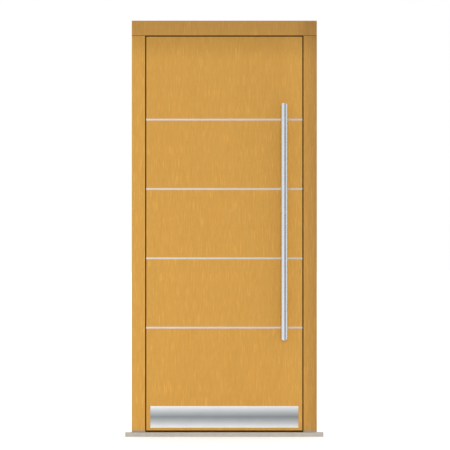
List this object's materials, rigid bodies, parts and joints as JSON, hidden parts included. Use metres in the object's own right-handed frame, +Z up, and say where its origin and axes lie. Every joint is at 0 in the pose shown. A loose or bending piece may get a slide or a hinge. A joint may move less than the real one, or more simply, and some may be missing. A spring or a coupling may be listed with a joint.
{
  "type": "panelled front door with frame",
  "caption": "Flush timber front door in its rebated frame: inlaid metal strips, kick plate, long tubular pull bar outside, lever and thumbturn inside.",
  "frame": {"origin": "underside of the sill, at the middle of the frame's width and depth", "axes": "+X to the right seen from outside, +Y into the house, +Z up; hinges on the -X side"},
  "size_m": [1.059, 0.229, 2.225],
  "materials": {
    "oak_frame": "satin",
    "oak_panel": "satin",
    "timber": "matte",
    "insulation": "matte",
    "stainless": "satin",
    "inlay": "satin",
    "sill_finish": "matte",
    "threshold_aluminium": "satin",
    "pad_plastic": "matte",
    "black_plastic": "matte",
    "seal_rubber": "matte",
    "zinc_steel": "satin",
    "cylinder_brass": "satin"
  },
  "bodies": {
    "frame": {"frame_gasket": "seal_rubber", "frame_screws": "zinc_steel", "head": "oak_frame", "hinge_frame_wing_1": "stainless", "hinge_frame_wing_2": "stainless", "hinge_frame_wing_3": "stainless", "hinge_pin_1": "stainless", "hinge_pin_2": "stainless", "hinge_pin_3": "stainless", "jamb_foot_hinge_side": "pad_plastic", "jamb_foot_lock_side": "pad_plastic", "jamb_hinge_side": "oak_frame", "jamb_lock_side": "oak_frame", "long_screws": "zinc_steel", "lower_strike": "stainless", "main_strike": "stainless", "sill": "sill_finish", "threshold_gasket": "seal_rubber", "threshold_inner": "threshold_aluminium", "threshold_insulator": "black_plastic", "upper_strike": "stainless"},
    "leaf": {"hinge_stile": "timber", "lock_stile": "timber", "top_rail": "timber", "bottom_rail": "timber", "insulation_core": "insulation", "outer_facing": "oak_panel", "inner_facing": "oak_panel", "inlay_strip_1": "inlay", "inlay_strip_2": "inlay", "inlay_strip_3": "inlay", "inlay_strip_4": "inlay", "kick_plate": "stainless", "pull_bar": "stainless", "pull_bar_end_caps": "stainless", "pull_bar_posts": "stainless", "pull_bar_bolts": "zinc_steel", "hinge_leaf_wing_1": "stainless", "hinge_leaf_wing_2": "stainless", "hinge_leaf_wing_3": "stainless", "leaf_screws": "zinc_steel", "lock_faceplate": "stainless", "lock_case": "zinc_steel", "upper_bolt_case": "zinc_steel", "lower_bolt_case": "zinc_steel", "cylinder_screw": "zinc_steel", "lever_rosette": "stainless", "cylinder_rosette": "stainless", "lock_cylinder": "cylinder_brass", "bottom_seal": "seal_rubber"},
    "lever": {"lever_handle": "stainless", "lever_spindle": "zinc_steel", "lock_follower": "zinc_steel"},
    "latch": {"latch_bolt": "zinc_steel"},
    "thumbturn": {"thumbturn": "stainless"},
    "deadbolt": {"deadbolt": "zinc_steel"},
    "upper_bolt": {"upper_bolt": "zinc_steel"},
    "lower_bolt": {"lower_bolt": "zinc_steel"},
    "rod_upper": {"drive_rod_upper": "zinc_steel"},
    "rod_lower": {"drive_rod_lower": "zinc_steel"}
  },
  "joints": [
    {"name": "leaf_swing", "type": "hinge", "parent": "frame", "child": "leaf", "pos_m": [-0.443, 0.05, 1.1], "axis": [0, 0, 1], "range_deg": [0, 100]},
    {"name": "lever_turn", "type": "hinge", "parent": "leaf", "child": "lever", "pos_m": [0.376, 0.047, 1.05], "axis": [0, -1, 0], "range_deg": [0, 40], "stiffness_Nm_per_rad": 1, "springref_deg": -34.38},
    {"name": "latch_slide", "type": "slide", "parent": "leaf", "child": "latch", "axis": [-1, 0, 0], "range_m": [0, 0.012]},
    {"name": "thumbturn_turn", "type": "hinge", "parent": "leaf", "child": "thumbturn", "pos_m": [0.376, 0.051, 0.958], "axis": [0, 1, 0], "range_deg": [0, 360]},
    {"name": "deadbolt_slide", "type": "slide", "parent": "leaf", "child": "deadbolt", "axis": [1, 0, 0], "range_m": [0, 0.02]},
    {"name": "upper_bolt_slide", "type": "slide", "parent": "leaf", "child": "upper_bolt", "axis": [1, 0, 0], "range_m": [0, 0.02]},
    {"name": "lower_bolt_slide", "type": "slide", "parent": "leaf", "child": "lower_bolt", "axis": [1, 0, 0], "range_m": [0, 0.02]},
    {"name": "rod_upper_slide", "type": "slide", "parent": "leaf", "child": "rod_upper", "axis": [0, 0, 1], "range_m": [0, 0.012]},
    {"name": "rod_lower_slide", "type": "slide", "parent": "leaf", "child": "rod_lower", "axis": [0, 0, -1], "range_m": [0, 0.012]}
  ],
  "couplings": [
    {"joint": "latch_slide", "follows": "lever_turn", "m_per_rad": 0.0171},
    {"joint": "thumbturn_turn", "follows": "deadbolt_slide", "rad_per_m": 314},
    {"joint": "upper_bolt_slide", "follows": "deadbolt_slide", "ratio": 1},
    {"joint": "lower_bolt_slide", "follows": "deadbolt_slide", "ratio": 1},
    {"joint": "rod_upper_slide", "follows": "deadbolt_slide", "ratio": 0.6},
    {"joint": "rod_lower_slide", "follows": "deadbolt_slide", "ratio": 0.6}
  ]
}
